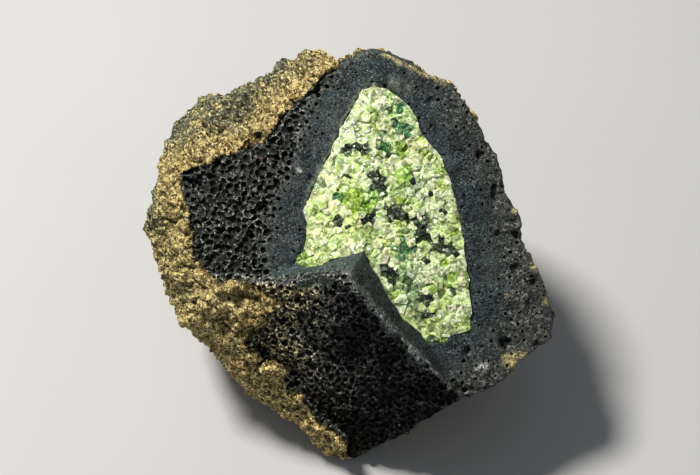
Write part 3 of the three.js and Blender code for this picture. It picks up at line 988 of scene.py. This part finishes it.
def grain_shape(middle, others, draw):
    """A grain: what is nearer to its middle than to those of the grains around it, broken off."""
    bm = bmesh.new()
    bmesh.ops.create_cube(bm, size=7)
    for other in others:
        away = Vector(other - middle)
        cut_off(bm, away * (0.5 + 0.02 / away.length), away)
    side = "left" if above_break("left", middle) > above_break("right", middle) else "right"
    freedom = float(ramp("freedom", -outside(NODULE_EDGE, as_seen(middle[None]))[0]))
    rise = draw.gauss(0.1, 0.15) * freedom
    if draw.random() < 0.03:
        rise -= 1.5 * freedom
    for lift, lean in GRAIN_BREAKS:
        tilt = Vector([draw.gauss(0, lean) for _ in range(3)]) * (0.4 + 0.6 * freedom)
        outward = (Vector(normal_of(side)) + tilt).normalized()
        cut_off(bm, outward * (rise + lift - above_break(side, middle)), outward)
    points, faces = arrays_of(bm)
    return (points + middle, faces) if len(faces) else None


def grain_colour(middle, settings, draw):
    """The colour of a grain: that of the spot it is in, or one that drifts over the nodule."""
    u, v = as_seen(middle[None])[0]
    brightness = draw.uniform(0.7, 1.02)
    warm = bumps(middle[None], 8, 6.6)[0]
    brightness *= np.array((1 + 0.18 * warm, 1 - 0.03 * warm, 1 - 0.4 * warm))
    if outside(NODULE_EDGE, as_seen(middle[None]))[0] > -1.2:
        brightness *= draw.uniform(0.55, 0.95)
    for name, u_spot, v_spot, reach in each_spot(GRAIN_SPOTS):
        if math.hypot(u - u_spot, v - v_spot) < reach * draw.uniform(0.8, 1.15):
            if name == "dark":
                brightness *= draw.uniform(0.3, 3) ** 1.2
            return np.array(getattr(settings, name)) * brightness
    kinds = ("pale", "pale", "fresh", "fresh", "lime", "bottle")
    choice = 2.2 + 3.4 * bumps(middle[None], 6, 2.4)[0] + draw.gauss(0, 1) - 0.035 * min(v, 10)
    kind = kinds[min(max(int(choice), 0), len(kinds) - 1)]
    return np.array(getattr(settings, kind)) * brightness


def olivine_look(settings):
    look = Look(
        "olivine", specular_ior_level=0.4, ior=1.6, transmission_weight=0.06,
        subsurface_weight=0.65, subsurface_radius=(0.8, 1, 0.35), subsurface_scale=0.8 * MM,
    )
    tint = look.stored("tint", "Color")
    seam = look.stored("seam")
    fine = look.noise(settings.fine, 3, 0.7)
    soft = look.noise(settings.clouds, 2, 0.5)
    chip, facets = look.chips(settings.chip)
    splinter, splinters = look.chips(settings.splinter)
    milky = look.node("SeparateColor", None, {"Color": tint}, 2).step(-0.08, 0.42)
    deep = look.scaled(look.node("Gamma", None, {"Color": tint, "Gamma": 1.5}), 0.55)
    frost = look.mix(0.04 + milky * 0.6, tint, settings.frost)
    tone = soft * 0.9 + chip * 0.5 + splinter * 0.4 + fine * 1.1
    colour = look.mix(tone.step(1.05, 1.45), deep, tint)
    colour = look.mix(tone.step(1.35, 1.7), colour, frost)
    colour = look.mix(seam * fine.step(0.35, 0.5) * (0.08 + milky * 0.55), colour, frost)
    glint = splinter.step(0.92, 0.94) * fine.step(0.4, 0.5) * (0.2 + milky * 0.6)
    colour = look.mix(glint, colour, settings.glint)
    height = facets + splinters * 0.8 + fine * 0.15
    return look.finish(colour, 0.05 + 0.2 * fine, height, 0.6 * MM)


def bed_shape(settings):
    """The solid nodule, cut off under the layer of grains, in the frame of the face."""
    bm = welded(NODULE)
    bmesh.ops.transform(bm, matrix=Matrix.Scale(1 / MM, 4) @ FACE.inverted(), verts=bm.verts)
    for name in ("left", "right"):
        outward = Vector(normal_of(name))
        cut_off(bm, seen_point(*BREAKS[name][0]) - outward * (settings.bed / MM), outward)
    return arrays_of(bm)


def outline_shape(low, high):
    """A block between two depths with the outline of the nodule, a little ragged."""
    draw = random.Random(6)
    bm = bmesh.new()
    corners = [bm.verts.new((u, v, 0)) for u, v in NODULE_EDGE]
    bm.faces.new(corners)
    bmesh.ops.subdivide_edges(bm, edges=bm.edges[:], cuts=3)
    for vert in bm.verts:
        u, v = [number + draw.uniform(-0.35, 0.35) for number in vert.co[:2]]
        vert.co = seen_point(u, v, low)
    top = bmesh.ops.extrude_face_region(bm, geom=bm.faces[:])["geom"]
    verts = [part for part in top if isinstance(part, bmesh.types.BMVert)]
    nearer = (1 - high / SEEN_FROM) / (1 - low / SEEN_FROM)
    bmesh.ops.scale(bm, vec=(nearer, nearer, 1), verts=verts)
    bmesh.ops.translate(bm, vec=(0, 0, high - low), verts=verts)
    return arrays_of(bm)


def in_groups(middles, shapes):
    """The grains in groups in which none touches another."""
    pairs = zip(middles, shapes)
    reaches = np.array([np.linalg.norm(shape[0] - at, axis=1).max() for at, shape in pairs])
    chosen = np.empty(len(middles), int)
    groups = []
    for index, middle in enumerate(middles):
        apart = np.linalg.norm(middles[:index] - middle, axis=1)
        near = set(chosen[:index][apart < reaches[:index] + reaches[index]])
        chosen[index] = next(group for group in range(len(middles)) if group not in near)
        if chosen[index] == len(groups):
            groups.append([])
        groups[chosen[index]].append(shapes[index])
    return groups


def refine(mesh, longest, lowest):
    """Splits long edges above a depth until the triangles are small enough to carry detail."""
    bm = bmesh.new()
    bm.from_mesh(mesh)
    bmesh.ops.triangulate(bm, faces=bm.faces)
    for _ in range(4):
        edges = [edge for edge in bm.edges if edge.calc_length() > longest]
        edges = [edge for edge in edges if edge.verts[0].co.z > lowest]
        if not edges:
            break
        bmesh.ops.subdivide_edges(bm, edges=edges, cuts=1)
        bmesh.ops.triangulate(bm, faces=bm.faces)
    bm.to_mesh(mesh)
    bm.free()


def broken_grains(seeds, settings, draw):
    """The grains at the face of the nodule: their middles and their shapes."""
    height = above_face(seeds)
    inside = outside(NODULE_EDGE, as_seen(seeds)) < 1.5
    shown = inside & (height < 1.6) & (height > 0.4 - settings.thickness / MM)
    middles, shapes = [], []
    for middle in seeds[shown]:
        apart = np.sum((seeds - middle) ** 2, axis=1)
        shape = grain_shape(middle, seeds[np.argsort(apart)[1:17]], draw)
        if shape:
            middles.append(middle)
            shapes.append(shape)
    return np.array(middles), shapes


def paint_grains(mesh, seeds, settings, draw):
    """Gives each grain its colour, and marks the seams between the grains."""
    points, corners = points_of(mesh), triangles_of(mesh)
    colours = np.array([(*grain_colour(middle, settings, draw), 1) for middle in seeds])
    tree = kdtree.KDTree(len(seeds))
    for index, seed in enumerate(seeds):
        tree.insert(seed, index)
    tree.balance()
    outwards = across(points, corners)
    outwards /= np.maximum(np.linalg.norm(outwards, axis=1), 1e-12)[:, None]
    within = points[corners].mean(axis=1) - 0.05 * outwards
    owners = np.array([tree.find(Vector(place))[1] for place in within])
    add_colours(mesh, "tint", "CORNER", np.repeat(colours[owners], 3, axis=0))
    nearest = [tree.find_n(Vector(place), 2) for place in points]
    to_seam = np.array([(second[2] - first[2]) / 2 for first, second in nearest])
    add_number(mesh, "seam", 1 - ramp("seam", to_seam))


class NODULE_OT_olivine(bpy.types.Operator):
    """Packs the nodule's face with broken grains of olivine that have grown together"""
    bl_idname = "nodule.olivine"
    bl_label = "Make the olivine"

    def execute(self, context):
        settings = context.scene.olivine
        draw = random.Random(4)
        seeds = packed_seeds(settings)
        groups = in_groups(*broken_grains(seeds, settings, draw))
        piece = new_object("olivine", joined("olivine", [bed_shape(settings)]))
        steps = [("UNION", shapes) for shapes in groups]
        combine(piece, [*steps, ("INTERSECT", [outline_shape(-30, 6)])])
        mesh = piece.data
        refine(mesh, 0.65, -10)
        paint_grains(mesh, seeds, settings, draw)
        turn = np.array(FACE)
        move_points(mesh, points_of(mesh) * MM @ turn[:3, :3].T + turn[:3, 3])
        mesh.materials.clear()
        mesh.materials.append(olivine_look(settings))
        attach(piece, "root")
        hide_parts(NODULE)
        return {"FINISHED"}


class NODULE_OT_stage(bpy.types.Operator):
    """Makes the pale floor, the lights and the camera"""
    bl_idname = "nodule.stage"
    bl_label = "Make the stage"

    def execute(self, context):
        settings = context.scene.stage
        bm = bmesh.new()
        bmesh.ops.create_grid(bm, x_segments=1, y_segments=1, size=settings.width / 2)
        floor = new_object("floor", mesh_of(bm, "floor"))
        look = Look("floor")
        tone = look.noise(settings.cloud, 2)
        paint = look.mix(tone, settings.floor, [0.96 * value for value in settings.floor])
        floor.data.materials.append(look.finish(paint, 0.75 + tone * 0.1))
        floor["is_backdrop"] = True

        lamp = bpy.data.lights.new("key", "AREA")
        lamp.shape = "DISK"
        lamp.size = settings.lamp
        lamp.energy = settings.key
        lamp.color = settings.glow
        towards = Vector(LAMP_SIDE).normalized()
        place = Matrix.Translation(FACE_MIDDLE + towards * settings.away)
        turn = towards.to_track_quat("Z", "Y").to_matrix().to_4x4()
        new_object("key", lamp).matrix_world = place @ turn

        world = bpy.data.worlds.new("room")
        world.use_nodes = True
        background = world.node_tree.nodes["Background"]
        background.inputs["Color"].default_value = (*settings.room, 1)
        background.inputs["Strength"].default_value = settings.fill
        context.scene.world = world
        context.scene.view_settings.view_transform = "Standard"

        camera = new_object("camera", bpy.data.cameras.new("camera"))
        camera.data.lens = LENS
        camera.data.sensor_width = FILM
        camera.data.clip_start = 10 * MM
        camera.matrix_world = FACE @ Matrix.Translation(Vector(CAMERA_PLACE) * MM)
        context.scene.camera = camera
        return {"FINISHED"}


class NODULE_PT_panel(bpy.types.Panel):
    """The steps that make the stone"""
    bl_idname = "NODULE_PT_panel"
    bl_label = "Olivine nodule"
    bl_space_type = "VIEW_3D"
    bl_region_type = "UI"
    bl_category = "Nodule"

    def draw(self, context):
        for operator in OPERATORS:
            self.layout.operator(operator.bl_idname)


OPERATORS = (NODULE_OT_stage, NODULE_OT_basalt, NODULE_OT_olivine)
SETTINGS = {"basalt": BasaltSettings, "olivine": OlivineSettings, "stage": StageSettings}
CLASSES = (*SETTINGS.values(), *OPERATORS, NODULE_PT_panel)


def register():
    for one in CLASSES:
        bpy.utils.register_class(one)
    for name, group in SETTINGS.items():
        setattr(bpy.types.Scene, name, PointerProperty(type=group))


def unregister():
    for name in SETTINGS:
        delattr(bpy.types.Scene, name)
    for one in reversed(CLASSES):
        bpy.utils.unregister_class(one)


def plain(box):
    """A box as plain lists of numbers."""
    return [list(corner) for corner in box]


def main():
    register()
    bpy.ops.nodule.stage()
    bpy.ops.nodule.basalt()
    bpy.ops.nodule.olivine()
    {"cad": plain(CAD_BOX), "visual": plain(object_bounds())}


if __name__ == "__main__":
    main()
